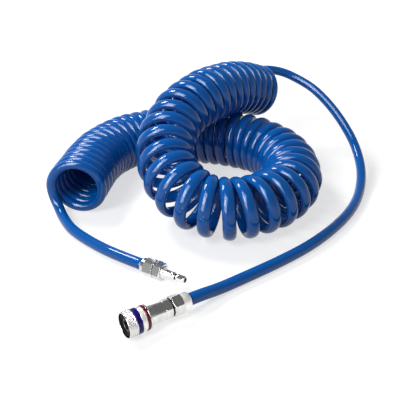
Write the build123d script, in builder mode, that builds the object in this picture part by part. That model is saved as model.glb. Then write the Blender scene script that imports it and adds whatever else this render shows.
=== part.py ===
"""Quick disconnect coupler on a recoil hose, with the plug at the hose's far end.

Millimetres. The coupler lies along X with its mouth towards -X, its axis at axis_height
above the surface, and its middle over the origin. Every turned piece of the coupler is a
profile in (distance from the mouth, radius), and every piece of the plug a profile in
(distance from the plug nut's rear end, radius).
"""
from build123d import *
from math import cos, pi, radians, sin, sqrt, tan
import os

os.makedirs("parts", exist_ok=True)

# ---------------------------------------------------------------- coupler, driving sizes
sleeve_len = 13.4          # locking sleeve, mouth to rear edge
sleeve_travel = 4.0        # how far the sleeve is pulled back to let the plug go
neck_len = 4.4             # bare neck between the sleeve and the colour ring
ring_len = 2.9             # colour ring
flange_len = 1.9           # flange behind the colour ring
body_len = 22.0            # wrench hexagon with its turned front
cone_len = 6.0             # slow cone at the front of the body hexagon
strip_len = 15.0           # front stretch of that hexagon with its corners turned down
relief_len = 1.4           # gap between body hexagon and nut
nut_hex_len = 10.5         # hexagon of the compression nut
nut_collar_len = 8.0       # round collar at the nut's rear
body_hex_af = 17.0         # body hexagon across flats
nut_wall = 1.1             # wall of a nut between its thread and the middle of a flat
thread_wall = 1.9          # from the hose's outside to the outside of the thread round it

hose_d = 12.0              # hose outside diameter
hose_bore_d = 8.0          # hose inside diameter

thread_d = hose_d + 2 * thread_wall                 # male thread under the coupler's nut
nut_hex_af = thread_d + 2 * nut_wall                # nut hexagon across flats
nut_collar_d = thread_d + 1.0                       # round collar of the nut

socket_bore_d = 8.2        # bore that takes the plug
socket_wall = 1.8          # wall of the socket tube round that bore
socket_recess = 1.6        # front edge of the socket tube, behind the mouth
ball_d = 3.0               # locking balls
ball_count = 4
ball_place = 9.0           # ball centres, from the mouth
ball_rest_reach = 1.05     # how far a ball stands inside the bore when locked
ball_hole_gap = 0.1        # radial clearance of a ball in its hole
ball_seat_angle = 15.0     # half angle of the tapered seat that keeps a ball from falling in

# ---------------------------------------------------------------- coupler, derived places
ring_front = sleeve_len + neck_len
flange_front = ring_front + ring_len
hex_front = flange_front + flange_len
hex_rear = hex_front + body_len
nut_front = hex_rear + relief_len
collar_front = nut_front + nut_hex_len
coupler_len = collar_front + nut_collar_len

run_gap = 0.1              # radial running fit of sleeve and poppet
side_gap = 0.3             # clearance between pieces that pass each other
seat_gap = 0.05            # clearance of a piece pressed or screwed home

# the coupler is sized from its bore outwards
hub_wall = 1.75            # wall of the sleeve over the balls
spring_room = 1.7          # room round the sleeve's hub for its spring
neck_wall = 1.4            # wall of the neck that the sleeve's skirt slides over
sleeve_wall = 0.9          # wall of that skirt
bore_r = socket_bore_d / 2
socket_r = bore_r + socket_wall
ball_r = ball_d / 2
ball_orbit = bore_r - ball_rest_reach + ball_r      # ball centres from the axis, locked
ball_lift = ball_rest_reach                         # travel that clears the bore
land_r = ball_orbit + ball_r + run_gap              # sleeve land that holds the balls in
release_r = land_r + ball_lift + 0.2                # sleeve groove that lets them out
hub_r = land_r + hub_wall
neck_bore_d = 2 * (hub_r + spring_room)             # inside of the neck, round the sleeve spring
neck_d = neck_bore_d + 2 * neck_wall
skirt_r = neck_d / 2 + run_gap
sleeve_d = 2 * (skirt_r + sleeve_wall)
axis_height = sleeve_d / 2

turning_plane = Plane(origin=(-coupler_len / 2, 0, axis_height), x_dir=(1, 0, 0), z_dir=(0, -1, 0))
coupler_axis = Axis((0, 0, axis_height), (1, 0, 0))


def section_plane(place):
    """The plane square to the coupler's axis, at a distance from the mouth."""
    return Plane(origin=(place - coupler_len / 2, 0, axis_height), x_dir=(0, 1, 0), z_dir=(1, 0, 0))


# ---------------------------------------------------------------- socket tube and balls
seal_d = 1.3               # cord of the plug seal
seal_inner_r = bore_r - 0.35                        # plug seal, inside radius
seal_place = 14.9          # plug seal centre, from the mouth
wiper_len = 0.8            # groove in the bore that keeps grit off the balls
wiper_depth = 0.3
wiper_place = ball_place - ball_r - ball_hole_gap - 0.4 - wiper_len / 2
plug_reach = 10.2          # plug tip, ahead of its ball groove
stop_face = ball_place + plug_reach + side_gap      # end of the plug bore
guide_bore_d = 7.2         # bore that guides the poppet's nose
guide_len = 2.6            # length of that bore, which ends at the valve seat
socket_rear = stop_face + guide_len
socket_root_d = neck_bore_d - 2.2                   # thick rear part of the socket tube
body_seal_d = 1.0          # cord of the seal between socket tube and rear body
body_seal_depth = body_seal_d + seat_gap            # depth of its groove
body_seal_place = 20.2     # its centre, from the mouth
neck_front = sleeve_len - 0.8
web_front = 3.6            # sleeve web, from behind the nose ring
web_rear = neck_front - sleeve_travel - side_gap
hub_rear = ball_place + 3.2                         # rear end of the sleeve's land
spring_seat = ring_front

clip_wire = 1.0            # retaining ring section
clip_depth = 0.5           # groove depth for it
clip_opening = 2.4         # gap between its ends
clip_place = web_front - side_gap - clip_wire / 2
nose_r = sleeve_d / 2 - 1.15                        # nose ring outside
rim_bore_r = nose_r + run_gap                       # sleeve rim round the nose ring
nose_rear = clip_place - clip_wire / 2 - 0.1
nose_bore_r = socket_r + seat_gap

cam_angle = 30.0           # cam between release groove and land
cam_len = (release_r - land_r) / tan(radians(cam_angle))

with BuildPart() as front_body:
    with BuildSketch(turning_plane):
        with BuildLine():
            Polyline(
                (socket_recess, bore_r + 0.5),
                (socket_recess, socket_r),
                (clip_place - clip_wire / 2, socket_r),
                (clip_place - clip_wire / 2, socket_r - clip_depth),
                (clip_place + clip_wire / 2, socket_r - clip_depth),
                (clip_place + clip_wire / 2, socket_r),
                (spring_seat, socket_r),
                (spring_seat, socket_root_d / 2),
                (socket_rear, socket_root_d / 2),
                (socket_rear, guide_bore_d / 2),
                (stop_face, guide_bore_d / 2),
                (stop_face, bore_r),
                (socket_recess + 0.5, bore_r),
                close=True,
            )
        make_face()
    revolve(axis=coupler_axis)
    # groove for the plug seal
    with BuildSketch(turning_plane):
        with Locations((seal_place, bore_r)):
            Rectangle(seal_d + 0.3, 2 * (seal_inner_r + seal_d - bore_r + seat_gap))
    revolve(axis=coupler_axis, mode=Mode.SUBTRACT)
    # groove that keeps grit off the balls
    with BuildSketch(turning_plane):
        with Locations((wiper_place, bore_r)):
            Rectangle(wiper_len, 2 * wiper_depth)
    revolve(axis=coupler_axis, mode=Mode.SUBTRACT)
    # groove for the seal between socket tube and rear body
    with BuildSketch(turning_plane):
        with Locations((body_seal_place, socket_root_d / 2)):
            Rectangle(body_seal_d + 0.3, 2 * body_seal_depth)
    revolve(axis=coupler_axis, mode=Mode.SUBTRACT)
    # one tapered hole for each ball
    seat_apex = ball_orbit - (ball_r + 0.03) / sin(radians(ball_seat_angle))
    hole_r = ball_r + ball_hole_gap
    seat_top = seat_apex + hole_r / tan(radians(ball_seat_angle))
    for i in range(ball_count):
        angle = 360 / ball_count * i
        out = Vector(0, cos(radians(angle)), sin(radians(angle)))
        centre = Vector(ball_place - coupler_len / 2, 0, axis_height)
        foot = bore_r - 1.0
        with Locations(Plane(origin=centre + out * foot, z_dir=out)):
            Cone(
                (foot - seat_apex) * tan(radians(ball_seat_angle)), hole_r, seat_top - foot,
                align=(Align.CENTER, Align.CENTER, Align.MIN), mode=Mode.SUBTRACT,
            )
        with Locations(Plane(origin=centre + out * seat_top, z_dir=out)):
            Cylinder(hole_r, socket_r - seat_top + 1.0,
                     align=(Align.CENTER, Align.CENTER, Align.MIN), mode=Mode.SUBTRACT)

balls = []
for i in range(ball_count):
    angle = radians(360 / ball_count * i)
    place = (ball_place - coupler_len / 2, ball_orbit * cos(angle), axis_height + ball_orbit * sin(angle))
    with BuildPart() as ball:
        with Locations(place):
            Sphere(ball_r)
    balls.append(ball)

with BuildPart() as plug_seal:
    with BuildSketch(turning_plane):
        with Locations((seal_place, seal_inner_r + seal_d / 2)):
            Circle(seal_d / 2)
    revolve(axis=coupler_axis)

with BuildPart() as body_seal:
    with BuildSketch(turning_plane):
        with Locations((body_seal_place, socket_root_d / 2 - body_seal_d / 2)):
            Circle(body_seal_d / 2 - 0.01)
    revolve(axis=coupler_axis)

with BuildPart() as retaining_ring:
    clip_inner_r = socket_r - clip_depth + seat_gap
    clip_outer_r = release_r + 1.0
    with BuildSketch(turning_plane):
        with Locations((clip_place, (clip_inner_r + clip_outer_r) / 2)):
            Rectangle(clip_wire - 2 * seat_gap, clip_outer_r - clip_inner_r)
    revolve(axis=coupler_axis)
    # the open end of the circlip
    with Locations((clip_place - coupler_len / 2, 0, axis_height + clip_outer_r)):
        Box(2 * clip_wire, clip_opening, 2 * clip_outer_r, mode=Mode.SUBTRACT)

with BuildPart() as nose_ring:
    dish_r = 6.6
    with BuildSketch(turning_plane):
        with BuildLine():
            Polyline(
                (0.0, nose_r - 1.1),
                (0.4, nose_r),
                (nose_rear, nose_r),
                (nose_rear, nose_bore_r),
                (1.7, nose_bore_r),
                (1.7, dish_r),
                (1.2, dish_r + 0.2),
                (0.9, dish_r + 1.6),
                close=True,
            )
        make_face()
    revolve(axis=coupler_axis)

# ---------------------------------------------------------------- locking sleeve
band_len = 4.4
band_depth = 0.4
band_front = sleeve_len - band_len

with BuildPart() as locking_sleeve:
    with BuildSketch(turning_plane):
        with BuildLine():
            Polyline(
                (0.2, rim_bore_r),
                (0.0, rim_bore_r + 0.3),
                (0.0, sleeve_d / 2 - 0.4),
                (0.4, sleeve_d / 2),
                (band_front, sleeve_d / 2),
                (band_front, sleeve_d / 2 - band_depth),
                (sleeve_len, sleeve_d / 2 - band_depth),
                (sleeve_len, skirt_r),
                (web_rear, skirt_r),
                (web_rear, hub_r),
                (hub_rear, hub_r),
                (hub_rear, land_r),
                (ball_place, land_r),
                (ball_place - cam_len, release_r),
                (web_front, release_r),
                (web_front, rim_bore_r),
                close=True,
            )
        make_face()
    revolve(axis=coupler_axis)

with BuildPart() as blue_band:
    with BuildSketch(turning_plane):
        with BuildLine():
            Polyline(
                (band_front + seat_gap, sleeve_d / 2 - band_depth),
                (band_front + seat_gap, sleeve_d / 2),
                (sleeve_len - 0.4, sleeve_d / 2),
                (sleeve_len, sleeve_d / 2 - 0.2),
                (sleeve_len, sleeve_d / 2 - band_depth),
                close=True,
            )
        make_face()
    revolve(axis=coupler_axis)

sleeve_wire = 0.9
sleeve_coils = 4
wire_sides = 8             # the springs' wire is drawn with plain faces
sleeve_spring_r = (hub_r + neck_bore_d / 2) / 2
sleeve_spring_front = web_rear + sleeve_wire / 2 + seat_gap
sleeve_spring_rear = spring_seat - sleeve_wire / 2 - seat_gap


def spring_path(front, rear, coils, radius):
    """A helix along the coupler's axis between two distances from the mouth."""
    length = rear - front
    return Helix(
        pitch=length / coils, height=length, radius=radius,
        center=(front - coupler_len / 2, 0, axis_height), direction=(1, 0, 0),
    )


with BuildPart() as sleeve_spring:
    with BuildLine() as sleeve_wire_path:
        add(spring_path(sleeve_spring_front, sleeve_spring_rear, sleeve_coils, sleeve_spring_r))
    with BuildSketch(Plane(sleeve_wire_path.line @ 0, z_dir=sleeve_wire_path.line % 0)):
        RegularPolygon(sleeve_wire / 2, wire_sides)
    sweep(path=sleeve_wire_path.line, is_frenet=True)

# ---------------------------------------------------------------- rear body and its ring
valve_seal_width = 1.35    # face seal on the poppet's head
head_room = 1.1            # air gap round the poppet's head
poppet_r = guide_bore_d / 2 - run_gap
valve_seal_r = (poppet_r + seat_gap, poppet_r + seat_gap + valve_seal_width)
head_r = valve_seal_r[1] + 0.2
chamber_d = 2 * (head_r + head_room)                # valve chamber
chamber_rear = 36.4        # shoulder that holds the valve guide
passage_d = hose_bore_d    # air passage behind the guide
thread_len = 9.0           # male thread inside the compression nut
thread_rear = nut_front + thread_len
hose_pocket_r = hose_d / 2 + seat_gap               # pocket that the hose end stands in
spigot_seat = hex_rear + 0.2
flange_d = sleeve_d - 1.4
ring_seat_r = neck_d / 2 - 0.6
root_bore_r = socket_root_d / 2 + seat_gap
hex_turn_r = 0.97          # turned end of a hexagon, as a share of half its width across flats


def turned_hexagon(profile_plane, front, length, across_flats, hole_r, turn, outline):
    """A wrench hexagon along a profile plane's x, turned down to an outline of (place, radius)."""
    square = Plane(
        origin=profile_plane.origin + profile_plane.x_dir * front,
        x_dir=profile_plane.z_dir, z_dir=profile_plane.x_dir,
    )
    with BuildPart() as hexagon:
        with BuildSketch(square):
            RegularPolygon(across_flats / 2, 6, major_radius=False, rotation=turn)
            Circle(hole_r, mode=Mode.SUBTRACT)
        extrude(amount=length)
        with BuildSketch(profile_plane):
            with BuildLine():
                Polyline((front, 0), *outline, (front + length, 0), close=True)
            make_face()
        revolve(axis=Axis(profile_plane.origin, profile_plane.x_dir), mode=Mode.INTERSECT)
    return hexagon.part


def chamfered_outline(front, length, across_flats, front_cone, rear_cone):
    """The outline of a hexagon with both ends turned to a cone."""
    face_r = across_flats / 2 * hex_turn_r
    corner_r = across_flats / sqrt(3) + seat_gap
    return [
        (front, face_r),
        (front + front_cone, corner_r),
        (front + length - rear_cone, corner_r),
        (front + length, face_r),
    ]


# a corner of the body hexagon stands straight up, and its front corners are turned down
strip_r = body_hex_af * 0.55
body_face_r, body_corner_r = body_hex_af / 2 * hex_turn_r, body_hex_af / sqrt(3) + seat_gap
body_outline = [
    (hex_front, body_hex_af / 2 + 0.1),
    (hex_front + cone_len, strip_r),
    (hex_front + strip_len, strip_r),
    (hex_front + strip_len + 0.3, body_corner_r),
    (hex_rear - 0.8, body_corner_r),
    (hex_rear, body_face_r),
]
body_hexagon = turned_hexagon(
    turning_plane, hex_front, body_len, body_hex_af, chamber_d / 2 + 0.5, 30, body_outline)

with BuildPart() as rear_body:
    # turned blank: neck, seat of the colour ring, flange, core and male thread
    with BuildSketch(turning_plane):
        with BuildLine():
            Polyline(
                (neck_front, neck_bore_d / 2),
                (neck_front, neck_d / 2 - 0.3),
                (neck_front + 0.3, neck_d / 2),
                (ring_front, neck_d / 2),
                (ring_front, ring_seat_r),
                (flange_front, ring_seat_r),
                (flange_front, flange_d / 2 - 0.3),
                (flange_front + 0.3, flange_d / 2),
                (hex_front - 0.5, flange_d / 2),
                (hex_front, flange_d / 2 - 0.5),
                (hex_front, thread_d / 2 - 0.9),
                (nut_front, thread_d / 2 - 0.9),
                (nut_front, thread_d / 2),
                (thread_rear, thread_d / 2),
                (thread_rear, hose_pocket_r),
                (spigot_seat, hose_pocket_r),
                (spigot_seat, passage_d / 2),
                (chamber_rear, passage_d / 2),
                (chamber_rear, chamber_d / 2),
                (socket_rear + seat_gap, chamber_d / 2),
                (socket_rear + seat_gap, root_bore_r),
                (ring_front + seat_gap, root_bore_r),
                (ring_front + seat_gap, neck_bore_d / 2),
                close=True,
            )
        make_face()
    revolve(axis=coupler_axis)
    add(body_hexagon)

with BuildPart() as red_ring:
    with BuildSketch(turning_plane):
        with BuildLine():
            Polyline(
                (ring_front + seat_gap, ring_seat_r),
                (ring_front + seat_gap, sleeve_d / 2 - 0.6),
                (ring_front + 0.6, sleeve_d / 2),
                (flange_front - 0.6, sleeve_d / 2),
                (flange_front - seat_gap, sleeve_d / 2 - 0.6),
                (flange_front - seat_gap, ring_seat_r),
                close=True,
            )
        make_face()
    revolve(axis=coupler_axis)

# ---------------------------------------------------------------- valve
valve_travel = 3.3         # how far the plug pushes the poppet
seal_stand = 0.2           # valve seal off its seat when closed
poppet_front = stop_face - side_gap - valve_travel
poppet_bore_r = 2.4
head_front = socket_rear + seal_stand + 0.3
head_len = 1.9
stem_r = 1.5
guide_plate_len = 1.4      # spider plate that carries the stem
guide_front = chamber_rear - seat_gap - guide_plate_len
guide_hub_len = 1.8        # hub ahead of the plate
guide_hub_r = 2.8
guide_rim = 0.6            # metal left beside a flow hole, rim and hub together
port_d = 2.2               # cross ports of the poppet
port_place = socket_rear - 1.5

with BuildPart() as valve_poppet:
    with BuildSketch(turning_plane):
        with BuildLine():
            Polyline(
                (poppet_front, poppet_bore_r),
                (poppet_front, poppet_r - 0.4),
                (poppet_front + 0.4, poppet_r),
                (head_front + 0.4, poppet_r),
                (head_front + 0.4, valve_seal_r[1] + seat_gap),
                (head_front, valve_seal_r[1] + seat_gap),
                (head_front, head_r),
                (head_front + head_len, head_r),
                (head_front + head_len, stem_r),
                (chamber_rear + 0.6, stem_r),
                (chamber_rear + 0.6, 0),
                (socket_rear - 0.2, 0),
                (socket_rear - 0.2, poppet_bore_r),
                close=True,
            )
        make_face()
    revolve(axis=coupler_axis)
    for turn in (0, 90):
        port_axis = Vector(0, cos(radians(turn)), sin(radians(turn)))
        with Locations(Plane(origin=(port_place - coupler_len / 2, 0, axis_height), z_dir=port_axis)):
            Cylinder(port_d / 2, 3 * poppet_r, mode=Mode.SUBTRACT)

with BuildPart() as valve_seal:
    with BuildSketch(turning_plane):
        with BuildLine():
            Polyline(
                (socket_rear + seal_stand, valve_seal_r[0]),
                (socket_rear + seal_stand, valve_seal_r[1] - 0.3),
                (socket_rear + seal_stand + 0.2, valve_seal_r[1]),
                (head_front + 0.4, valve_seal_r[1]),
                (head_front + 0.4, valve_seal_r[0]),
                close=True,
            )
        make_face()
    revolve(axis=coupler_axis)

with BuildPart() as valve_guide:
    with BuildSketch(section_plane(guide_front)):
        Circle(chamber_d / 2 - seat_gap)
        with PolarLocations((guide_hub_r + chamber_d / 2) / 2, 4, start_angle=45):
            Circle((chamber_d / 2 - guide_hub_r - guide_rim) / 2, mode=Mode.SUBTRACT)
    extrude(amount=guide_plate_len)
    with BuildSketch(section_plane(guide_front - guide_hub_len)):
        Circle(guide_hub_r)
    extrude(amount=guide_hub_len)
    with BuildSketch(section_plane(guide_front - guide_hub_len)):
        Circle(stem_r + seat_gap)
    extrude(amount=guide_hub_len + guide_plate_len, mode=Mode.SUBTRACT)

valve_wire = 0.7
valve_coils = 4
with BuildPart() as valve_spring:
    with BuildLine() as valve_wire_path:
        add(spring_path(head_front + head_len + valve_wire / 2 + seat_gap,
                        guide_front - valve_wire / 2 - seat_gap, valve_coils, head_r - 0.9))
    with BuildSketch(Plane(valve_wire_path.line @ 0, z_dir=valve_wire_path.line % 0)):
        RegularPolygon(valve_wire / 2, wire_sides)
    sweep(path=valve_wire_path.line, is_frenet=True)

# ---------------------------------------------------------------- hose end of the coupler
spigot_bore_r = hose_bore_d / 2 - 1.1
spigot_r = hose_bore_d / 2 - 0.1
spigot_flange_len = 1.8
spigot_front = spigot_seat - 3.0
spigot_rear = collar_front + 3.0
barb_pitch = 3.0
clamp_len = 4.8
clamp_r = hose_d / 2 + 1.2
clamp_front = thread_rear + 0.2
clamp_rear = clamp_front + clamp_len
hose_way_r = hose_d / 2 + side_gap


def barbed_tube(profile_plane, start, seat, end, flange_r, inner_r, barb_r):
    """A spigot: nose, flange on its seat, then a tube whose barbs grip the hose from inside."""
    flange_end = seat + spigot_flange_len
    barbs = int((end - flange_end - 1.0) / barb_pitch)
    with BuildPart() as spigot:
        with BuildSketch(profile_plane):
            with BuildLine():
                points = [(start, inner_r), (start, barb_r - 0.1), (seat, barb_r - 0.1),
                          (seat, flange_r), (flange_end, flange_r), (flange_end, barb_r - 0.35)]
                for i in range(barbs):
                    root = flange_end + 1.0 + barb_pitch * i
                    points += [(root, barb_r - 0.35), (root, barb_r)]
                    points += [(root + barb_pitch - 0.6, barb_r - 0.35)]
                points += [(end, barb_r - 0.35), (end, inner_r)]
                Polyline(*points, close=True)
            make_face()
        revolve(axis=Axis(profile_plane.origin, profile_plane.x_dir))
    return spigot.part


def clamp_cone(profile_plane, front, rear):
    """A split cone that the nut squeezes onto the hose."""
    with BuildPart() as cone:
        with BuildSketch(profile_plane):
            with BuildLine():
                Polyline(
                    (front, hose_pocket_r),
                    (front, clamp_r),
                    (front + 1.2, clamp_r),
                    (rear, hose_way_r + 0.3),
                    (rear, hose_pocket_r),
                    close=True,
                )
            make_face()
        revolve(axis=Axis(profile_plane.origin, profile_plane.x_dir))
    return cone.part


with BuildPart() as hose_spigot:
    add(barbed_tube(turning_plane, spigot_front, spigot_seat + seat_gap, spigot_rear,
                    hose_pocket_r - seat_gap, spigot_bore_r, hose_bore_d / 2 - 0.01))

with BuildPart() as clamp_sleeve:
    add(clamp_cone(turning_plane, clamp_front, clamp_rear))

# a corner of the nut stands straight up, as the body's does
nut_hexagon = turned_hexagon(
    turning_plane, nut_front, nut_hex_len, nut_hex_af, thread_d / 2 + 0.4, 30,
    chamfered_outline(nut_front, nut_hex_len, nut_hex_af, 1.0, 1.2))

with BuildPart() as compression_nut:
    with BuildSketch(turning_plane):
        with BuildLine():
            Polyline(
                (nut_front, thread_d / 2 + seat_gap),
                (nut_front, thread_d / 2 + 0.6),
                (collar_front, thread_d / 2 + 0.6),
                (collar_front, nut_collar_d / 2),
                (coupler_len - 1.2, nut_collar_d / 2),
                (coupler_len, nut_collar_d / 2 - 0.9),
                (coupler_len, hose_way_r + 0.4),
                (coupler_len - 0.4, hose_way_r),
                (clamp_rear + 0.1, hose_way_r),
                (clamp_rear + 0.1, hose_way_r + 0.3 + seat_gap),
                (clamp_front + 1.2, clamp_r + seat_gap),
                (thread_rear + 0.1, clamp_r + seat_gap),
                (thread_rear + 0.1, thread_d / 2 + seat_gap),
                close=True,
            )
        make_face()
    revolve(axis=coupler_axis)
    add(nut_hexagon)

# ---------------------------------------------------------------- plug at the hose's far end
plug_len = 49.8
plug_rear = (26.6, 75.4)   # middle of the plug nut's rear end
plug_heading = -64.4       # way the plug points, degrees from +X
plug_thread_d = hose_d + 2.8
plug_hex_af = plug_thread_d + 2 * nut_wall
plug_height = plug_hex_af / 2
plug_collar_len = 4.0
plug_collar_d = plug_thread_d + 0.8
plug_nut_len = 11.0
plug_gap_len = 0.8
plug_body_len = 9.0
plug_cone_len = 2.0
shank_d = socket_bore_d - 0.2
tip_d = 2 * seal_inner_r - 0.3
groove_r = bore_r - ball_rest_reach - 0.15
plug_bore_d = 4.6

plug_plane = Plane(
    origin=(plug_rear[0], plug_rear[1], plug_height),
    x_dir=(cos(radians(plug_heading)), sin(radians(plug_heading)), 0),
    z_dir=(sin(radians(plug_heading)), -cos(radians(plug_heading)), 0),
)
plug_axis = Axis(plug_plane.origin, plug_plane.x_dir)
plug_nut_front = plug_collar_len + plug_nut_len
plug_hex_front = plug_nut_front + plug_gap_len
plug_face = plug_hex_front + plug_body_len
plug_thread_len = 8.0      # male thread inside the plug's nut
plug_thread_rear = plug_nut_front - plug_thread_len
plug_hose_end = plug_nut_front - 0.6
groove_place = plug_len - plug_reach
plug_hexagon = turned_hexagon(
    plug_plane, plug_hex_front, plug_body_len, plug_hex_af, plug_thread_d / 2 - 1.9, 0,
    chamfered_outline(plug_hex_front, plug_body_len, plug_hex_af, 1.0, 1.6))

with BuildPart() as plug_body:
    with BuildSketch(plug_plane):
        with BuildLine():
            Polyline(
                (2.5, spigot_bore_r),
                (2.5, spigot_r - 0.3),
                (3.5, spigot_r),
                (plug_hose_end + 0.1, spigot_r),
                (plug_hose_end + 0.1, hose_pocket_r),
                (plug_thread_rear, hose_pocket_r),
                (plug_thread_rear, plug_thread_d / 2),
                (plug_nut_front, plug_thread_d / 2),
                (plug_nut_front, plug_thread_d / 2 - 0.8),
                (plug_hex_front, plug_thread_d / 2 - 0.8),
                (plug_face, plug_thread_d / 2 - 0.8),
                (plug_face + plug_cone_len * 0.3, plug_thread_d / 2 - 1.0),
                (plug_face + plug_cone_len, shank_d / 2 + 0.8),
                (plug_face + plug_cone_len, shank_d / 2),
                (groove_place - 2.6, shank_d / 2),
                (groove_place - ball_r, groove_r),
                (groove_place + ball_r * 0.4, groove_r),
                (groove_place + ball_r, tip_d / 2),
                (plug_len - 0.8, tip_d / 2),
                (plug_len, tip_d / 2 - 0.5),
                (plug_len, plug_bore_d / 2),
                (plug_face, plug_bore_d / 2),
                (plug_face - 1.0, spigot_bore_r),
                close=True,
            )
        make_face()
    revolve(axis=plug_axis)
    add(plug_hexagon)

plug_nut_hexagon = turned_hexagon(
    plug_plane, plug_collar_len, plug_nut_len, plug_hex_af, plug_thread_d / 2 + 0.3, 0,
    chamfered_outline(plug_collar_len, plug_nut_len, plug_hex_af, 1.2, 1.0))

with BuildPart() as plug_nut:
    with BuildSketch(plug_plane):
        with BuildLine():
            Polyline(
                (0.0, hose_way_r + 0.4),
                (0.0, plug_collar_d / 2 - 0.7),
                (0.9, plug_collar_d / 2),
                (plug_collar_len, plug_collar_d / 2),
                (plug_collar_len, plug_thread_d / 2 + 0.5),
                (plug_nut_front, plug_thread_d / 2 + 0.5),
                (plug_nut_front, plug_thread_d / 2 + seat_gap),
                (plug_thread_rear - 0.1, plug_thread_d / 2 + seat_gap),
                (plug_thread_rear - 0.1, clamp_r - 0.2 + seat_gap),
                (plug_thread_rear - 1.3, clamp_r - 0.2 + seat_gap),
                (plug_thread_rear - 4.3, hose_way_r + 0.3 + seat_gap),
                (plug_thread_rear - 4.3, hose_way_r),
                (0.4, hose_way_r),
                close=True,
            )
        make_face()
    revolve(axis=plug_axis)
    add(plug_nut_hexagon)

with BuildPart() as plug_clamp_sleeve:
    with BuildSketch(plug_plane):
        with BuildLine():
            Polyline(
                (plug_thread_rear - 0.2, hose_pocket_r),
                (plug_thread_rear - 0.2, clamp_r - 0.2),
                (plug_thread_rear - 1.3, clamp_r - 0.2),
                (plug_thread_rear - 4.2, hose_way_r + 0.3),
                (plug_thread_rear - 4.2, hose_pocket_r),
                close=True,
            )
        make_face()
    revolve(axis=plug_axis)

# ---------------------------------------------------------------- hose
coil_d = 70.0              # outside of the wound hose
tube_z = hose_d / 2        # hose lying on the surface
coil_z = coil_d / 2        # wound hose lying on the surface
arc_share = 0.45           # share of the shorter run that an arc takes at a corner

hose_start = spigot_seat + seat_gap + spigot_flange_len + 0.1 - coupler_len / 2
plug_hose_start = plug_plane.origin + plug_plane.x_dir * plug_hose_end
coupler_tail_points = [
    (hose_start, 0, axis_height), (53.5, 0, axis_height), (93.5, 5, tube_z), (139.5, 7, tube_z),
    (191.5, 13, tube_z), (245.5, 26, tube_z), (293.5, 46, tube_z), (335.5, 74, tube_z), (367.5, 103, 15),
    (388.5, 138, 34), (392.5, 178, 62), (385.5, 220, 88), (365.5, 260, 103), (344.5, 280, 106), (315.5, 277, 111),
]
coil_axis_points = [
    (18.5, 219, coil_z), (40.5, 244, coil_z), (77.5, 290, coil_z), (137.5, 315, coil_z), (193.5, 298, coil_z),
    (238.5, 249, coil_z), (271.5, 199, coil_z), (268.5, 138, coil_z), (231.5, 85, coil_z), (170.5, 69, coil_z),
    (123.5, 85, coil_z), (99.5, 122, 46), (105.5, 175, 73), (150.5, 216, 99), (214.5, 240, 111), (278.5, 254, 107),
    (327.5, 262, 86),
]
plug_tail_points = [
    (plug_hose_start.X, plug_hose_start.Y, plug_height), (14.7, 100.2, plug_height), (3.5, 138, tube_z),
    (-5.5, 175, tube_z), (-4.5, 208, 12), (3.5, 236, 19),
]


def runs_between(points):
    """The straight runs from each point to the next."""
    corners = [Vector(*p) for p in points]
    return [b - a for a, b in zip(corners, corners[1:])]


def arc_radii(points):
    """The arcs' radii for straight runs through the points, each as large as its two runs allow."""
    runs = runs_between(points)
    radii = []
    for before, after in zip(runs, runs[1:]):
        half_turn = radians(before.get_angle(after)) / 2
        radii.append(arc_share * min(before.length, after.length) / tan(half_turn))
    return radii


def swept_route(points, outer_d, inner_d):
    """A round tube along straight runs joined by tangent arcs."""
    radii = arc_radii(points)
    with BuildPart() as tube:
        with BuildLine():
            route = FilletPolyline(*points, radius=radii)
        with BuildSketch(Plane(route @ 0, z_dir=route % 0)):
            Circle(outer_d / 2)
            if inner_d:
                Circle(inner_d / 2, mode=Mode.SUBTRACT)
        sweep(path=route)
    expected = pi * (outer_d ** 2 - inner_d ** 2) / 4 * route.length
    print("length %.1f, volume %.0f of %.0f" % (route.length, tube.part.volume, expected))
    print("radii", [round(r) for r in radii])
    return tube.part


coil_runs = runs_between(coil_axis_points)
coil_start_face = Plane(origin=coil_axis_points[0], z_dir=coil_runs[0])
coil_end_face = Plane(origin=coil_axis_points[-1], z_dir=-coil_runs[-1])

with BuildPart() as hose_coil:
    add(swept_route(coil_axis_points, coil_d, 0))

# each tail is cut off flush where it meets an end face of the wound hose
with BuildPart() as hose_tail_coupler:
    add(swept_route(coupler_tail_points, hose_d, hose_bore_d))
    with BuildSketch(coil_end_face):
        Circle(coil_d / 2)
    extrude(amount=2 * hose_d, mode=Mode.SUBTRACT)

with BuildPart() as hose_tail_plug:
    add(swept_route(plug_tail_points, hose_d, hose_bore_d))
    with BuildSketch(coil_start_face):
        Circle(coil_d / 2)
    extrude(amount=2 * hose_d, mode=Mode.SUBTRACT)

# ---------------------------------------------------------------- one file for each piece
pieces = {
    "front_body": front_body, "rear_body": rear_body, "locking_sleeve": locking_sleeve,
    "blue_band": blue_band, "red_ring": red_ring, "nose_ring": nose_ring,
    "retaining_ring": retaining_ring, "sleeve_spring": sleeve_spring, "plug_seal": plug_seal,
    "body_seal": body_seal, "valve_poppet": valve_poppet, "valve_seal": valve_seal,
    "valve_spring": valve_spring, "valve_guide": valve_guide, "hose_spigot": hose_spigot,
    "clamp_sleeve": clamp_sleeve, "compression_nut": compression_nut,
    "hose_tail_coupler": hose_tail_coupler, "hose_coil": hose_coil, "hose_tail_plug": hose_tail_plug,
    "plug_nut": plug_nut, "plug_clamp_sleeve": plug_clamp_sleeve, "plug_body": plug_body,
}
for i, ball in enumerate(balls):
    pieces["locking_ball_%d" % (i + 1)] = ball

for name, piece in pieces.items():
    piece.part.label = name
    export_step(piece.part, "parts/%s.step" % name)
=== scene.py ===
"""Looks of the quick disconnect coupler on its recoil hose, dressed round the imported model.

Metres in the row frame. The coupler lies along X with its mouth towards -X, and the hose runs from
its nut along the floor, up to the far end of the coil, through the coil, and on to the plug.
Outlines and routes are in millimetres, as in the model's own source.
"""
from math import cos, pi, radians, sin

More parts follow.
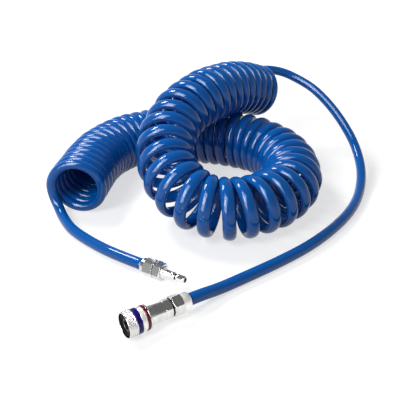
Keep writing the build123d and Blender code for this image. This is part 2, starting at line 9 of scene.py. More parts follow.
import bmesh
import bpy
import numpy as np
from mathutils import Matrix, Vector


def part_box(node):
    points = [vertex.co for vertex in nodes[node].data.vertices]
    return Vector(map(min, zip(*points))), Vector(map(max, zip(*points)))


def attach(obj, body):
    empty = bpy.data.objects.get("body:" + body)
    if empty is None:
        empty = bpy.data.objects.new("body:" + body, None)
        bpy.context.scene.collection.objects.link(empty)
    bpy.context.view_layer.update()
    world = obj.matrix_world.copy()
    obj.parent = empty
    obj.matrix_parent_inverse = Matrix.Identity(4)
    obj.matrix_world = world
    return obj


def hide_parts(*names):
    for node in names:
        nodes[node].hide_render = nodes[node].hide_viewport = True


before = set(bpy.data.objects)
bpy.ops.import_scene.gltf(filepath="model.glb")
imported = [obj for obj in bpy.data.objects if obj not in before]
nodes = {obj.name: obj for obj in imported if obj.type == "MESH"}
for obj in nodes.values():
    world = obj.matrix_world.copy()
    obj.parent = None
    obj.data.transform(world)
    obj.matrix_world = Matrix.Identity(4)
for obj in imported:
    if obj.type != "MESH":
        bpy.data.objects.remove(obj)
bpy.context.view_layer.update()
scene = bpy.context.scene
MM = 0.001

# ------------------------------------------------------------------ camera
CAMERA_PLACE = (-0.186, -0.3525, 0.340)
CAMERA_PITCH = radians(28.5)
CAMERA_HEADING = (0.548, 0.836)

camera_data = bpy.data.cameras.new("camera")
camera_data.sensor_width = 36.0
camera_data.lens = 51.75
camera_data.clip_start = 0.01
camera_data.clip_end = 50.0
camera = bpy.data.objects.new("camera", camera_data)
camera.location = CAMERA_PLACE
camera.rotation_euler = Vector((
    CAMERA_HEADING[0] * cos(CAMERA_PITCH),
    CAMERA_HEADING[1] * cos(CAMERA_PITCH),
    -sin(CAMERA_PITCH),
)).to_track_quat("-Z", "Y").to_euler()
scene.collection.objects.link(camera)
scene.camera = camera

# ------------------------------------------------------------------ mesh helpers


def placed(name, mesh, body):
    """An object at the origin that shows a mesh and rides on a body."""
    piece = bpy.data.objects.new(name, mesh)
    scene.collection.objects.link(piece)
    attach(piece, body)
    return piece


def mesh_piece(name, points, faces, body):
    """A smooth piece from an array of points and a list or array of faces."""
    mesh = bpy.data.meshes.new(name)
    rows = np.asarray(points, float).reshape(-1, 3).tolist()
    mesh.from_pydata(rows, [], [list(map(int, face)) for face in faces])
    mesh.validate()
    mesh.polygons.foreach_set("use_smooth", np.full(len(mesh.polygons), True))
    return placed(name, mesh, body)


def outward(piece):
    """Turns every face of a closed piece outwards."""
    shape = bmesh.new()
    shape.from_mesh(piece.data)
    bmesh.ops.recalc_face_normals(shape, faces=shape.faces)
    shape.to_mesh(piece.data)
    shape.free()


def grid_faces(rows, columns, close_rows=False):
    """Quads of a grid whose columns close on themselves, and whose rows do too where asked."""
    i, j = np.meshgrid(np.arange(rows if close_rows else rows - 1), np.arange(columns), indexing="ij")
    next_row, next_column = (i + 1) % rows, (j + 1) % columns
    corners = [i * columns + j, i * columns + next_column,
               next_row * columns + next_column, next_row * columns + j]
    return np.stack(corners, axis=-1).reshape(-1, 4)


def unit(v):
    """Each row of v at length 1."""
    return v / np.maximum(np.linalg.norm(v, axis=-1, keepdims=True), 1e-12)


def lengths(line):
    """How long each stretch between a line's points is."""
    return np.linalg.norm(np.diff(line, axis=0), axis=1)


# ------------------------------------------------------------------ hose
HOSE_D = 12.0
TURN_POINTS = 12           # points of the route in each turn of the coil
POINT_STEPS = 4            # rings of the tube to each point of the route
MIDDLE_STEPS = 60          # points read from each stretch of the coil's middle
HOSE_SIDES = 18
FLAT_RADIAL = 0.80         # a wound turn is pressed flat against its ring
FLAT_AXIAL = (0.94, 1.22)  # and spreads along the coil as far as its neighbours leave room
FILL = 0.98                # share of the way to its neighbour that a turn may take
SWELL = 0.6                # share of the width a turn can't take that it keeps in thickness
ROUND_ENDS = 2             # points at each end of the coil where the hose is still round
LOOSENESS = 0.35           # how much the turns differ in size and lie
SEED = 7                   # of the draws that give each turn its own
PULL_IN = 0.75 + 0.25 * cos(2 * pi / TURN_POINTS)  # share of its points' radius that the smooth line keeps
UV_SCALE = 10              # of the hose's own map, for each metre along it

# middle of the coil from the plug's end to the coupler's: place, ring outside diameter, pitch
COIL_ROUTE = np.array([
    (17.5, 220, 34.5, 68, 12.5), (39.5, 245, 35, 69, 12.5), (77.5, 289, 36, 70, 12.5),
    (138.5, 315, 37, 72, 13), (192.5, 298, 37.5, 74, 12.4), (238.5, 249, 38.5, 75, 14.6),
    (271.5, 199, 38.5, 75, 19), (268.5, 139, 37.5, 73, 19), (231.5, 84, 36.5, 71, 19),
    (170.5, 69, 35.5, 69, 19.5), (124.5, 86, 34.5, 68, 19), (99.5, 122, 47, 68, 19),
    (106.5, 175, 72, 67.5, 20.5), (150.5, 216, 97, 68, 21), (214.5, 239, 108, 70.5, 14.8),
    (276.5, 254, 104, 70, 12.2), (316, 260, 88, 67, 12.2),
], float)
TURNS = 58
START_TURN = radians(-110)  # turn angle where the plug's tail joins the coil
END_TURN = radians(-110)    # and where the coupler's tail does

# the coupler's tail, from inside the nut to the coil's upper end
TAIL_A = np.array([
    (14.5, 0, 12), (45.5, 0, 12), (67.5, 4, 6.4), (93.5, 5.2, 6), (139.5, 7, 6), (191.5, 12, 6),
    (245.5, 26, 6), (293.5, 46, 6), (335.5, 74, 7), (367.5, 104, 17), (389.5, 142, 36),
    (390.5, 182, 66), (385.5, 220, 88), (375.5, 243, 98), (361.5, 263, 107), (339, 276, 112),
    (324, 283.5, 108), (314.5, 286, 96),
], float)
# the plug's tail, from the coil's lower end to inside the plug
TAIL_B = np.array([
    (-2.3, 230, 12.5), (-3.5, 217, 7.2), (-4.9, 200, 6), (-5.5, 178, 6), (3.5, 138, 6),
    (14.7, 100.2, 8.5), (32.82, 62.41, 8.5),
], float)


def read_line(points, steps):
    """Points along the smooth line (order 3, held at both ends) that a route's points shape."""
    data = bpy.data.curves.new("route", "CURVE")
    data.dimensions = "3D"
    data.resolution_u = steps
    spline = data.splines.new("NURBS")
    spline.points.add(len(points) - 1)
    spline.points.foreach_set("co", np.column_stack([points, np.ones(len(points))]).ravel())
    spline.order_u = 3
    spline.use_endpoint_u = True
    holder = bpy.data.objects.new("route", data)
    mesh = bpy.data.meshes.new_from_object(holder)
    line = np.empty(3 * len(mesh.vertices))
    mesh.vertices.foreach_get("co", line)
    bpy.data.objects.remove(holder)
    bpy.data.meshes.remove(mesh)
    bpy.data.curves.remove(data)
    return line.reshape(-1, 3)


def coil_points():
    """The route's points in the coil: at turn angle a, the axis + r (cos a up + sin a right).

    The turn angle grows with the way along the axis divided by the pitch, and r is the ring's
    outside radius less half the flattened hose, enlarged by what the smooth line pulls in.
    The turns of a used hose differ a little in size and lie, by a seeded draw for each turn.
    """
    axis = read_line(COIL_ROUTE[:, :3], MIDDLE_STEPS)
    ring, pitch = read_line(COIL_ROUTE[:, [3, 4, 4]], MIDDLE_STEPS)[:, :2].T
    turns = np.concatenate([[0], np.cumsum(lengths(axis) / pitch[1:])])
    turns *= (TURNS + (END_TURN - START_TURN) / (2 * pi)) / turns[-1]
    along = unit(np.gradient(axis, axis=0))
    up = unit(np.array([0, 0, 1.0]) - along[:, 2:] * along)
    right = np.cross(along, up)

    count = int(round(turns[-1] * TURN_POINTS)) + 1
    turned_by = np.linspace(0, turns[-1], count)
    at = np.interp(turned_by, turns, np.arange(len(turns)))

    def read_at(values):
        return np.stack([np.interp(at, np.arange(len(turns)), column) for column in values.T], axis=-1)

    draw = np.random.default_rng(SEED)
    knots = np.linspace(0, turns[-1], TURNS + 1)
    sway = np.interp(turned_by, knots, draw.normal(0, LOOSENESS, TURNS + 1))
    slip = np.interp(turned_by, knots, draw.normal(0, LOOSENESS, TURNS + 1))
    angle = (START_TURN + 2 * pi * turned_by)[:, None]
    radius = (np.interp(at, np.arange(len(turns)), ring) / 2 - HOSE_D * FLAT_RADIAL / 2 + sway)[:, None]
    middle = read_at(axis) + read_at(along) * slip[:, None]
    outwards = np.cos(angle) * unit(read_at(up)) + np.sin(angle) * unit(read_at(right))
    return middle, middle + outwards * radius / PULL_IN


def hose_arrays():
    """The hose's centre line, what it winds round at each place, and how it is pressed there.

    A turn's width along the coil is its distance from its neighbours, within FLAT_AXIAL, and what it
    gains in width it loses in thickness.
    """
    core, coil = coil_points()
    core, coil = core[::-1], coil[::-1]
    apart = np.linalg.norm(coil[TURN_POINTS:] - coil[:-TURN_POINTS], axis=1)
    to_last = np.concatenate([apart[:TURN_POINTS], apart])
    to_next = np.concatenate([apart, apart[-TURN_POINTS:]])
    axial = np.clip(np.minimum(to_last, to_next) / HOSE_D * FILL, *FLAT_AXIAL)
    radial = FLAT_RADIAL + (FLAT_AXIAL[1] - axial) * SWELL
    route = np.vstack([TAIL_A, coil, TAIL_B])
    wound = np.vstack([TAIL_A + (core[0] - coil[0]), core, TAIL_B + (core[-1] - coil[-1])])
    pressed = np.zeros((len(route), 3))
    flat = slice(len(TAIL_A) + ROUND_ENDS, len(TAIL_A) + len(coil) - ROUND_ENDS)
    pressed[flat, 0] = radial[ROUND_ENDS:-ROUND_ENDS] - 1
    pressed[flat, 1] = axial[ROUND_ENDS:-ROUND_ENDS] - 1
    return (read_line(route * MM, POINT_STEPS), read_line(wound * MM, POINT_STEPS),
            read_line(pressed, POINT_STEPS)[:, :2])


def hose_mesh(line, wound, pressed):
    """A tube round the line: rings of points square to it, each ring an ellipse in the coil.

    Each ring's frame is the last one's turned with the line, so the tube isn't twisted. A point at
    angle b is r (cos b n1 + sin b n2), scaled towards what the hose winds round and along the coil.
    """
    along = unit(np.gradient(line, axis=0))
    first = np.empty_like(line)
    n = unit(np.cross(along[0], (0.0, 0.0, 1.0)))
    for k, t in enumerate(along):
        n = n - t * np.dot(n, t)
        n /= np.linalg.norm(n)
        first[k] = n
    second = np.cross(along, first)
    b = np.linspace(0, 2 * pi, HOSE_SIDES, endpoint=False)
    out = (np.cos(b)[None, :, None] * first[:, None] + np.sin(b)[None, :, None] * second[:, None])
    out *= HOSE_D / 2 * MM
    radial = line - wound
    radial = unit(radial - (radial * along).sum(1, keepdims=True) * along)
    across = np.cross(along, radial)
    for way, change in ((radial, pressed[:, 0]), (across, pressed[:, 1])):
        part = (out * way[:, None]).sum(2)
        out = out + (change[:, None] * part)[:, :, None] * way[:, None]
    points = (line[:, None] + out).reshape(-1, 3)
    rows = len(line)
    faces = grid_faces(rows, HOSE_SIDES).tolist()
    faces.append(list(range(HOSE_SIDES))[::-1])
    faces.append(list(range((rows - 1) * HOSE_SIDES, rows * HOSE_SIDES)))
    return points, faces


def map_hose(piece, line):
    """The hose's own map: the way along it, and the way round it from the seam and back."""
    way = np.concatenate([[0], np.cumsum(lengths(line))])
    corners = np.empty(len(piece.data.loops), int)
    piece.data.loops.foreach_get("vertex_index", corners)
    ring, side = np.divmod(corners, HOSE_SIDES)
    places = np.stack([way[ring] * UV_SCALE, np.abs(side / HOSE_SIDES * 2 - 1)], axis=-1)
    piece.data.uv_layers.new(name="along").data.foreach_set("uv", places.ravel())


hose_line, hose_wound, hose_pressed = hose_arrays()
hose_length = float(lengths(hose_line).sum())
hose_points, hose_faces = hose_mesh(hose_line, hose_wound, hose_pressed)
hose = mesh_piece("recoil_hose", hose_points, hose_faces, "coupler_body")
outward(hose)
map_hose(hose, hose_line)
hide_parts("hose_tail_coupler", "hose_coil", "hose_tail_plug")

# ------------------------------------------------------------------ turned and milled pieces
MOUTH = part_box("nose_ring")[0][0]
AXIS_Z = 0.012
PLUG_REAR = (0.0266, 0.0754, 0.0085)
PLUG_HEADING = radians(-64.4)
COUPLER_LINE = (Vector((MOUTH, 0, AXIS_Z)), Vector((1, 0, 0)))
PLUG_LINE = (Vector(PLUG_REAR), Vector((cos(PLUG_HEADING), sin(PLUG_HEADING), 0)))
MERGE = 2e-6               # points of a solid nearer than this are one
ON_THE_CUT = 1e-7          # and points nearer to a cut lie on it
FLAT_ANGLE = radians(0.6)  # faces that meet flatter than this are one
SHARP_ANGLE = radians(28)  # and edges sharper than this are eased
EASE_ROOM = 0.45           # share of a profile's shorter side that easing may take at each corner


def eased_loop(profile, ease, steps=3):
    """A closed profile with each corner cut back by `ease` and rounded as a parabola.

    From a before the corner to c after it: (1 - t)^2 a + 2 t (1 - t) corner + t^2 c.
    """
    corner = np.asarray(profile, float)
    before = np.roll(corner, 1, axis=0) - corner
    after = np.roll(corner, -1, axis=0) - corner
    room = np.minimum(np.linalg.norm(before, axis=1), np.linalg.norm(after, axis=1)) * EASE_ROOM
    back = np.minimum(room, ease)[:, None]
    a, c = corner + unit(before) * back, corner + unit(after) * back
    t = np.linspace(0, 1, steps + 1)[:, None, None]
    return ((1 - t) ** 2 * a + 2 * t * (1 - t) * corner + t ** 2 * c).transpose(1, 0, 2).reshape(-1, 2)


def turned(name, loop, body, line=COUPLER_LINE, sides=120, shape=None, tone=None):
    """A closed profile of (place along the line, radius) in mm, turned about the line.

    `shape` may change the radius as a function of the place, the radius and the angle, and `tone`
    gives each stretch of the profile the number of its material.
    """
    loop = np.asarray(loop, float)
    start, ahead = line
    angle = np.linspace(0, 2 * pi, sides, endpoint=False)
    place, radius = np.broadcast_arrays(loop[:, 0, None], loop[:, 1, None] + 0 * angle)
    if shape:
        radius = shape(place, radius, np.broadcast_to(angle, radius.shape))
    side = np.array((-ahead.y, ahead.x, 0.0))
    points = np.array(start) + MM * (
        place[..., None] * np.array(ahead)
        + (radius * np.cos(angle))[..., None] * side
        + (radius * np.sin(angle))[..., None] * np.array((0.0, 0.0, 1.0)))
    piece = mesh_piece(name, points, grid_faces(len(loop), sides, close_rows=True), body)
    if tone:
        numbers = np.array([tone(*((a + b) / 2)) for a, b in zip(loop, np.roll(loop, -1, axis=0))])
        piece.data.polygons.foreach_set("material_index", np.repeat(numbers, sides))
    outward(piece)
    return piece


def cut_ahead(shape, line, place):
    """Cuts away what lies ahead of a place on the line, and closes the cut."""
    start, ahead = line
    bmesh.ops.bisect_plane(
        shape, geom=shape.verts[:] + shape.edges[:] + shape.faces[:], dist=ON_THE_CUT,
        plane_co=start + ahead * place * MM, plane_no=ahead, clear_outer=True)
    rim = [edge for edge in shape.edges if edge.is_boundary]
    bmesh.ops.holes_fill(shape, edges=rim, sides=0)


def eased_copy(node, name, line, width, tone, keep_behind=None):
    """A merged copy of a solid whose sharp edges are eased by `width` mm.

    `tone` gives each face the number of its material from its place along the line and its distance
    from it in mm, and `keep_behind` cuts away what lies ahead of a place on the line.
    """
    shape = bmesh.new()
    shape.from_mesh(nodes[node].data)
    bmesh.ops.remove_doubles(shape, verts=shape.verts, dist=MERGE)
    if keep_behind is not None:
        cut_ahead(shape, line, keep_behind)
    bmesh.ops.dissolve_limit(shape, angle_limit=FLAT_ANGLE, verts=shape.verts, edges=shape.edges)
    bmesh.ops.recalc_face_normals(shape, faces=shape.faces)
    mesh = bpy.data.meshes.new(name)
    shape.to_mesh(mesh)
    shape.free()
    start, ahead = line
    for face in mesh.polygons:
        place = (face.center - start).dot(ahead)
        radius = (face.center - start - place * ahead).length
        face.material_index = tone(place / MM, radius / MM)
    mesh.polygons.foreach_set("use_smooth", np.full(len(mesh.polygons), True))
    mesh.set_sharp_from_angle(angle=SHARP_ANGLE)
    piece = placed(name, mesh, "coupler_body")
    bevel = piece.modifiers.new("eased_edges", "BEVEL")
    bevel.width = width * MM
    bevel.segments = 2
    bevel.limit_method = "ANGLE"
    bevel.angle_limit = SHARP_ANGLE
    bevel.harden_normals = True
    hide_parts(node)
    return piece


def gap_and_satin(gap, gap_r, satin=(0, 0)):
    """The tone of a milled piece: its second material, painted shade, within a gap, its third along a
    satin stretch.
    """
    def tone(place, radius):
        if gap[0] < place < gap[1] and radius < gap_r:
            return 1
        return 2 if satin[0] < place < satin[1] else 0
    return tone


# ------------------------------------------------------------------ coupler
KNURL_COUNT = 48           # diamonds round the sleeve
KNURL_DEPTH = 0.42
KNURL_SPAN = (1.0, 7.3)
KNURL_ROWS = 32
KNURL_EDGE = 0.05          # how far a point lies within the knurl's ends and surface to be cut
SLEEVE_R = 12.0
KNURL_PITCH = 2 * pi * SLEEVE_R / KNURL_COUNT
FACE_R = (6.5, 9.3)        # turned face of the nose ring
FACE_PLACE = (1.1, 0.65)   # its depth in the mouth at those radii
FACE_ROWS = 57
SHEEN_R = (6.3, 9.45)       # what the painted sheen, a lighter grey, covers of it, and how deep
SHEEN_PLACE = 1.3
GROOVE_DEPTH = 0.045
GROOVE_PITCH = 0.56
# faces in this gap, within GAP_R, are painted dark as shade
GAP = (44.5, 46.1)         # between the body's hexagon and the nut
GAP_R = 9.6
NECK = (0, 17.9)           # satin neck at the front of the body
COLLAR = (56.55, 70)       # satin collar behind the nut's hexagon, and beyond


def knurled(place, radius, angle):
    """The sleeve's radius less grooves along two families of helices, which leave small diamonds."""
    one = angle * KNURL_COUNT / (2 * pi) + place / KNURL_PITCH
    other = angle * KNURL_COUNT / (2 * pi) - place / KNURL_PITCH
    height = 2 * np.minimum(np.abs(one - np.round(one)), np.abs(other - np.round(other)))
    along = (place > KNURL_SPAN[0] + KNURL_EDGE) & (place < KNURL_SPAN[1] - KNURL_EDGE)
    return np.where(along & (radius > SLEEVE_R - KNURL_EDGE), radius - KNURL_DEPTH * (1 - height), radius)


def nose_tone(place, radius):
    """Dark grey on the turned face, a painted sheen, and black on the rim and the rest."""
    return int(SHEEN_R[0] < radius < SHEEN_R[1] and place < SHEEN_PLACE)


# a stretch that isn't a whole loop starts and ends half way through the easing of its end corners
sleeve_front = eased_loop([
    (3.6, 10.95), (0.25, 10.97), (0.0, 11.2), (0.0, 11.55), (0.35, 11.93), (0.85, 11.93), (1.0, 11.72),
], ease=0.08)[2:-2]
sleeve_rear = eased_loop([
    (7.35, 11.72), (7.5, 11.95), (8.35, 11.95), (8.5, 11.8), (8.5, 11.45), (13.0, 11.45),
    (13.0, 11.72), (13.1, 11.82), (13.25, 11.82), (13.4, 11.65), (13.4, 11.1), (8.3, 11.1),
    (8.3, 7.9), (12.2, 7.9), (12.2, 6.15), (9.0, 6.15), (6.835, 7.4), (3.6, 7.4),
], ease=0.08)
knurl_rows = [(u, SLEEVE_R) for u in np.linspace(*KNURL_SPAN, KNURL_ROWS)]
sleeve = turned("locking_sleeve_knurled", np.vstack([sleeve_front, knurl_rows, sleeve_rear]),
                "sleeve", sides=360, shape=knurled)
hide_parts("locking_sleeve")

band = turned("blue_band_lacquered", eased_loop([
    (8.52, 11.46), (8.52, 11.6), (8.7, 11.74), (12.8, 11.74), (12.98, 11.6), (12.98, 11.46),
], ease=0.1), "sleeve")
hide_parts("blue_band")

ring = turned("red_ring_lacquered", eased_loop([
    (17.87, 10.42), (17.87, 11.2), (18.25, 11.68), (20.25, 11.68), (20.62, 11.2), (20.62, 10.42),
], ease=0.35), "coupler_body")
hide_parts("red_ring")

face_r = np.linspace(*FACE_R, FACE_ROWS)
face_place = np.interp(face_r, FACE_R, FACE_PLACE) + GROOVE_DEPTH * np.cos(face_r * 2 * pi / GROOVE_PITCH)
nose_rim = eased_loop([
    (0.62, 9.42), (0.2, 9.5), (0.0, 9.75), (0.0, 10.35), (0.45, 10.84), (2.2, 10.84),
    (2.2, 5.96), (1.55, 5.96), (1.2, 6.2),
], ease=0.08)[2:]
nose = turned("nose_ring_grooved", np.vstack([np.column_stack([face_place, face_r]), nose_rim]),
              "coupler_body", tone=nose_tone)
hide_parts("nose_ring")

body = eased_copy("rear_body", "rear_body_eased", COUPLER_LINE, width=0.16,
                  tone=gap_and_satin(GAP, GAP_R, NECK))
nut = eased_copy("compression_nut", "compression_nut_eased", COUPLER_LINE, width=0.18,
                 tone=gap_and_satin(GAP, GAP_R, COLLAR))

# ------------------------------------------------------------------ plug
# faces in this gap, within PLUG_GAP_R, are painted dark as shade
PLUG_GAP = (14.9, 15.9)    # between the plug's nut and its hexagon
PLUG_GAP_R = 7.4
HEXAGON_END = 25.6         # where the plug's shank takes over from its hexagon
BALL_GROOVE = (38.3, 40.2)
BORE_EDGE = 2.5            # radius within which the plug's bore is painted dark, as shade


def shank_tone(place, radius):
    """Painted shade: dark in the ball groove and in the bore."""
    return int(BALL_GROOVE[0] < place < BALL_GROOVE[1] or radius < BORE_EDGE)


plug_hexagon = eased_copy("plug_body", "plug_hexagon_eased", PLUG_LINE, width=0.18,
                          tone=gap_and_satin(PLUG_GAP, PLUG_GAP_R), keep_behind=HEXAGON_END)
plug_nut = eased_copy("plug_nut", "plug_nut_eased", PLUG_LINE, width=0.18,
                      tone=gap_and_satin(PLUG_GAP, PLUG_GAP_R))
shank = turned("plug_shank", eased_loop([
    (25.4, 2.35), (25.4, 6.2), (26.1, 6.2), (26.8, 4.9), (27.4, 4.9), (27.6, 4.0), (33.6, 4.0),
    (33.9, 3.5), (34.9, 3.5), (35.2, 4.0), (37.0, 4.0), (38.1, 2.95), (40.2, 2.95), (41.1, 3.6),
    (49.0, 3.6), (49.8, 3.1), (49.8, 2.35),
], ease=0.12), "coupler_body", line=PLUG_LINE, sides=96, tone=shank_tone)
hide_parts("plug_body")

# ------------------------------------------------------------------ materials
TONE_SPREAD = 0.06         # how far a surface's colour wanders to either side
TONE_STOPS = (0.35, 0.65)  # of the noise, where it has gone that far
ROUGH_STOPS = (0.3, 0.7)   # and where the roughness has
BUMP_DEPTH = 0.0002        # metres of relief at full strength


class Nodes:
    """The node tree of a material or world, emptied and built again."""

    def __init__(self, owner, output):
        owner.use_nodes = True
        self.tree = owner.node_tree
        self.tree.nodes.clear()
        self.output = self.node(output)

    def node(self, kind, inputs=(), **settings):
        """A node with its settings. Each input gets a plain value, or is wired to an output."""
        made = self.tree.nodes.new(kind)
        for key, value in settings.items():
            setattr(made, key, value)
        for key, value in dict(inputs).items():
            if isinstance(value, bpy.types.NodeSocket):
                self.tree.links.new(value, made.inputs[key])
            else:
                made.inputs[key].default_value = value
        return made

    def maths(self, operation, *values):
        """What one sum, or other operation, gives."""
        return self.node("ShaderNodeMath", dict(enumerate(values)), operation=operation).outputs[0]

    def added(self, one, other):
        """Two shaders' light at once."""
        return self.node("ShaderNodeAddShader", {0: one, 1: other}).outputs[0]

    def show(self, shader):
        """Makes a shader the tree's surface."""
        self.tree.links.new(shader, self.output.inputs["Surface"])


def surface(name, colour, metallic=0.0, roughness=0.3, spread=0.08, grain=400.0, bump=0.02,
            specular=0.5, uv=False, stretch=(1, 1, 1)):
    """A Principled surface whose colour and roughness wander a little, with a fine grain bump."""
    material = bpy.data.materials.new(name)
    made = Nodes(material, "ShaderNodeOutputMaterial")
    place = made.node("ShaderNodeTexCoord").outputs["UV" if uv else "Object"]
    scaled = made.node("ShaderNodeMapping", {"Vector": place, "Scale": stretch}).outputs["Vector"]
    broad = made.node("ShaderNodeTexNoise", {
        "Vector": scaled, "Scale": grain / 8, "Detail": 4.0}).outputs["Fac"]
    fine = made.node("ShaderNodeTexNoise", {
        "Vector": scaled, "Scale": grain * 2, "Detail": 3.0}).outputs["Fac"]
    tone = made.node("ShaderNodeValToRGB", {"Fac": broad})
    for element, stop, way in zip(tone.color_ramp.elements, TONE_STOPS, (-1, 1)):
        element.position = stop
        element.color = (*[min(1.0, c * (1 + way * TONE_SPREAD)) for c in colour], 1)
    rough = made.node("ShaderNodeMapRange", {
        "Value": broad, "From Min": ROUGH_STOPS[0], "From Max": ROUGH_STOPS[1],
        "To Min": roughness - spread, "To Max": roughness + spread}).outputs["Result"]
    relief = made.node("ShaderNodeBump", {
        "Height": fine, "Strength": bump, "Distance": BUMP_DEPTH}).outputs["Normal"]
    made.show(made.node("ShaderNodeBsdfPrincipled", {
        "Base Color": tone.outputs["Color"], "Metallic": metallic, "Roughness": rough,
        "Specular IOR Level": specular, "Normal": relief}).outputs["BSDF"])
    return material


ALONG_X = (12, 1, 1)       # fine lines round the coupler, as turning leaves them
ALONG_HOSE = (1, 6, 1)     # and streaks along the hose
finishes = {
    "hose_blue": surface(
        "hose_polyurethane", (0.001, 0.102, 0.41), roughness=0.08, spread=0.03, specular=0.31,
        grain=60.0, bump=0.01, uv=True, stretch=ALONG_HOSE),
    "nickel_body": surface(
        "nickel_plate", (0.76, 0.755, 0.74), metallic=1.0, roughness=0.11, spread=0.03,
        grain=300.0, bump=0.008, stretch=ALONG_X),
    "sleeve_nickel": surface(
        "sleeve_nickel_plate", (0.74, 0.74, 0.73), metallic=1.0, roughness=0.13, spread=0.03,
        bump=0.004),
    "nut_nickel": surface(
        "nut_nickel_plate", (0.74, 0.735, 0.72), metallic=1.0, roughness=0.11, spread=0.03,
        grain=300.0, bump=0.008, stretch=ALONG_X),
    # painted shade: this nickel plate is darker than the coupler's, so that the plug's faces show a greyer
    # reflection
    "plug_nickel": surface(
        "plug_nickel_plate_painted_shade", (0.64, 0.64, 0.625), metallic=1.0, roughness=0.06, spread=0.01,
        grain=100.0, bump=0.001),
    "shank_nickel": surface(
        "shank_nickel_plate", (0.84, 0.84, 0.82), metallic=1.0, roughness=0.06, spread=0.015,
        grain=100.0, bump=0.001),
    "nose_black": surface("nose_black_rim", (0.002, 0.002, 0.002), roughness=0.45, specular=0.0),
    # painted sheen: the turned face of the same black polymer is a lighter grey for the sheen it shows
    "nose_face_painted_sheen": surface("nose_black_face_painted_sheen", (0.013, 0.014, 0.0145), roughness=0.45, specular=0.02),
    "band_blue": surface("blue_band_lacquer", (0.010, 0.004, 0.17), roughness=0.14, specular=0.26),
    "ring_red": surface("red_ring_lacquer", (0.14, 0.001, 0.014), roughness=0.14, specular=0.4),
    "collar_nickel": surface(
        "satin_collar", (0.93, 0.93, 0.90), metallic=1.0, roughness=0.5, spread=0.04,
        grain=300.0, bump=0.01),
    # painted shade: a near-black steel in the gaps, the ball groove and the bore, where shade falls
    "painted_gap_shade": surface("painted_shade_in_gaps", (0.02, 0.02, 0.02), metallic=1.0, roughness=0.4),
    # painted shade: the socket tube deep in the mouth is a dark steel, for the shade that falls in there
    "socket_painted_shade": surface(
        "socket_steel_painted_shade", (0.07, 0.07, 0.074), metallic=1.0, roughness=0.4),
    "spring_steel": surface("spring_steel_wire", (0.5, 0.5, 0.5), metallic=1.0),
    "ball_steel": surface(
        "ball_polished_steel", (0.7, 0.7, 0.71), metallic=1.0, roughness=0.12, spread=0.03),
    "brass_inner": surface("inner_brass", (0.72, 0.52, 0.22), metallic=1.0),
    "seal_rubber": surface("seal_nitrile_rubber", (0.012, 0.012, 0.012), roughness=0.5),
}

# the finishes of each piece: its own, then those that its tones number 1 and 2
# tone 1 of the milled pieces is painted shade in their gaps, groove and bore, and tone 1 of the nose is
# its face's painted sheen
PIECE_FINISHES = {
    hose: ("hose_blue",),
    body: ("nickel_body", "painted_gap_shade", "collar_nickel"),
    nut: ("nut_nickel", "painted_gap_shade", "collar_nickel"),
    sleeve: ("sleeve_nickel",),
    plug_hexagon: ("plug_nickel", "painted_gap_shade"),
    plug_nut: ("plug_nickel", "painted_gap_shade"),
    shank: ("shank_nickel", "painted_gap_shade"),
    nose: ("nose_black", "nose_face_painted_sheen"),
    band: ("band_blue",),
    ring: ("ring_red",),
}
NODE_FINISHES = {
    "nickel_body": ("rear_body",),
    # the socket tube inside the mouth is painted dark as shade
    "socket_painted_shade": ("front_body",),
    "sleeve_nickel": ("locking_sleeve",),
    "nut_nickel": ("compression_nut",),
    "plug_nickel": ("plug_nut", "plug_body"),
    "nose_black": ("nose_ring",),
    "band_blue": ("blue_band",),
    "ring_red": ("red_ring",),
    "hose_blue": ("hose_tail_coupler", "hose_coil", "hose_tail_plug"),
    "spring_steel": ("sleeve_spring", "valve_spring", "retaining_ring"),
    "ball_steel": ("locking_ball_1", "locking_ball_2", "locking_ball_3", "locking_ball_4"),
    "brass_inner": ("valve_poppet", "valve_guide", "hose_spigot", "clamp_sleeve", "plug_clamp_sleeve"),
    "seal_rubber": ("plug_seal", "body_seal", "valve_seal"),
}
for piece, keys in PIECE_FINISHES.items():
    for key in keys:
        piece.data.materials.append(finishes[key])
for key, names in NODE_FINISHES.items():
    for name in names:
        for material_slot in nodes[name].material_slots:
            material_slot.material = finishes[key]

# ------------------------------------------------------------------ floor
FLOOR_X = (-1.0, 1.4)
FLOOR_Y = (-0.9, 1.8)
PAPER_GREY = 0.45
FLOOR_MIDDLE = (0.2, 0.17, 0.0)
LIFT_REACH = (0.3, 0.8)    # distances from the middle between which the lift grows
LIFT = (0.66, 1.0)         # and how much it is there

floor_mesh = bpy.data.meshes.new("floor")
floor_mesh.from_pydata([(FLOOR_X[0], FLOOR_Y[0], 0), (FLOOR_X[1], FLOOR_Y[0], 0),
                        (FLOOR_X[1], FLOOR_Y[1], 0), (FLOOR_X[0], FLOOR_Y[1], 0)], [], [(0, 1, 2, 3)])
floor = bpy.data.objects.new("floor", floor_mesh)
scene.collection.objects.link(floor)

# what is seen of the floor directly, in a gloss or through glass is lifted to white, and more far out
floor_material = bpy.data.materials.new("floor_paper")
paper = Nodes(floor_material, "ShaderNodeOutputMaterial")
ray = paper.node("ShaderNodeLightPath").outputs
seen = paper.maths("MAXIMUM", paper.maths("MAXIMUM", ray["Is Camera Ray"], ray["Is Glossy Ray"]),
                   ray["Is Transmission Ray"])
away = paper.node("ShaderNodeVectorMath", {
    0: paper.node("ShaderNodeTexCoord").outputs["Object"], 1: FLOOR_MIDDLE}, operation="DISTANCE")
lift = paper.node("ShaderNodeMapRange", {
    "Value": away.outputs["Value"], "From Min": LIFT_REACH[0], "From Max": LIFT_REACH[1],
    "To Min": LIFT[0], "To Max": LIFT[1]}, interpolation_type="SMOOTHSTEP")
white = paper.node("ShaderNodeEmission", {
    "Strength": paper.maths("MULTIPLY", seen, lift.outputs["Result"])})
grey = paper.node("ShaderNodeBsdfDiffuse", {"Color": (PAPER_GREY, PAPER_GREY, PAPER_GREY, 1)})
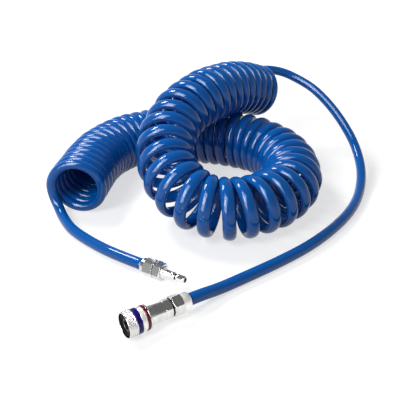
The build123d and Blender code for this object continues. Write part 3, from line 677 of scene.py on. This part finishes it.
paper.show(paper.added(grey.outputs["BSDF"], white.outputs["Emission"]))
floor.data.materials.append(floor_material)

# ------------------------------------------------------------------ world
# height of the direction looked in, and how bright a gloss sees the room there
ROOM = ((0.0, 1.0), (0.12, 0.9), (0.3, 0.42), (0.66, 0.22), (1.0, 0.15))
ROOM_COOLNESS = 1.02       # of its blue against its red and green
FILL_LIGHT = 0.19          # the world's light on the object
WINDOW_TOWARD = (-0.84, -0.30, 0.80)
WINDOW_HALF_SIZE = (0.27, 0.52)
WINDOW_EDGE = 0.03         # slope over which its light fades out
WINDOW_LIGHT = 10.0

world = bpy.data.worlds.new("studio")
sky = Nodes(world, "ShaderNodeOutputWorld")
looked_in = sky.node("ShaderNodeTexCoord").outputs["Generated"]
sky_ray = sky.node("ShaderNodeLightPath").outputs


def backdrop(strength, colour=(1, 1, 1, 1)):
    """One of the world's lights."""
    return sky.node("ShaderNodeBackground", {"Color": colour, "Strength": strength}).outputs[0]


def choose(kind, other, chosen):
    """The chosen light for one kind of ray, and the other for the rest."""
    return sky.node("ShaderNodeMixShader", {"Fac": sky_ray[kind], 1: other, 2: chosen}).outputs[0]


def slope(way):
    """How far the direction looked in leans a way."""
    lean = sky.node("ShaderNodeVectorMath", {0: looked_in, 1: way}, operation="DOT_PRODUCT")
    return lean.outputs["Value"]


def room():
    """The room's light, which changes with the height of the direction looked in."""
    height = sky.node("ShaderNodeSeparateXYZ", {0: looked_in}).outputs["Z"]
    ramp = sky.node("ShaderNodeValToRGB", {"Fac": height})
    stops = ramp.color_ramp.elements
    while len(stops) < len(ROOM):
        stops.new(0.5)
    for stop, (place, light) in zip(stops, ROOM):
        stop.position = place
        stop.color = (light, light, light * ROOM_COOLNESS, 1)
    return backdrop(1.0, ramp.outputs["Color"])


def window():
    """A pane, bright where the direction leans less than two half sizes across and up from its middle.

    Its light is both edges' steps, which fade over WINDOW_EDGE, times WINDOW_LIGHT, in front only.
    """
    ahead = Vector(WINDOW_TOWARD).normalized()
    across = ahead.cross(Vector((0, 0, 1))).normalized()
    steps = []
    for way, half in zip((across, across.cross(ahead)), WINDOW_HALF_SIZE):
        steps.append(sky.node("ShaderNodeMapRange", {
            "Value": sky.maths("ABSOLUTE", slope(way)), "From Min": half + WINDOW_EDGE, "From Max": half,
        }).outputs["Result"])
    facing = sky.maths("GREATER_THAN", slope(ahead), 0.0)
    inside = sky.maths("MULTIPLY", sky.maths("MULTIPLY", *steps), facing)
    return backdrop(sky.maths("MULTIPLY", inside, WINDOW_LIGHT))


gloss = sky.added(room(), window())
lit = choose("Is Glossy Ray", backdrop(FILL_LIGHT), gloss)
sky.show(choose("Is Camera Ray", lit, backdrop(1.0)))
scene.world = world

# ------------------------------------------------------------------ lamps
LAMP_AIM = (0.15, 0.15, 0.03)


def lamp(name, place, size, power):
    """A soft box at a place, aimed at the middle of the object."""
    data = bpy.data.lights.new(name, "AREA")
    data.shape = "RECTANGLE"
    data.size, data.size_y = size
    data.energy = power
    made = bpy.data.objects.new(name, data)
    made.location = place
    made.rotation_euler = (Vector(LAMP_AIM) - Vector(place)).to_track_quat("-Z", "Y").to_euler()
    scene.collection.objects.link(made)


lamp("key", (-0.15, 1.0, 1.2), (0.5, 0.35), 15.0)
lamp("window", (-0.69, -0.15, 0.83), (0.4, 0.5), 7.0)

scene.view_settings.view_transform = "Standard"
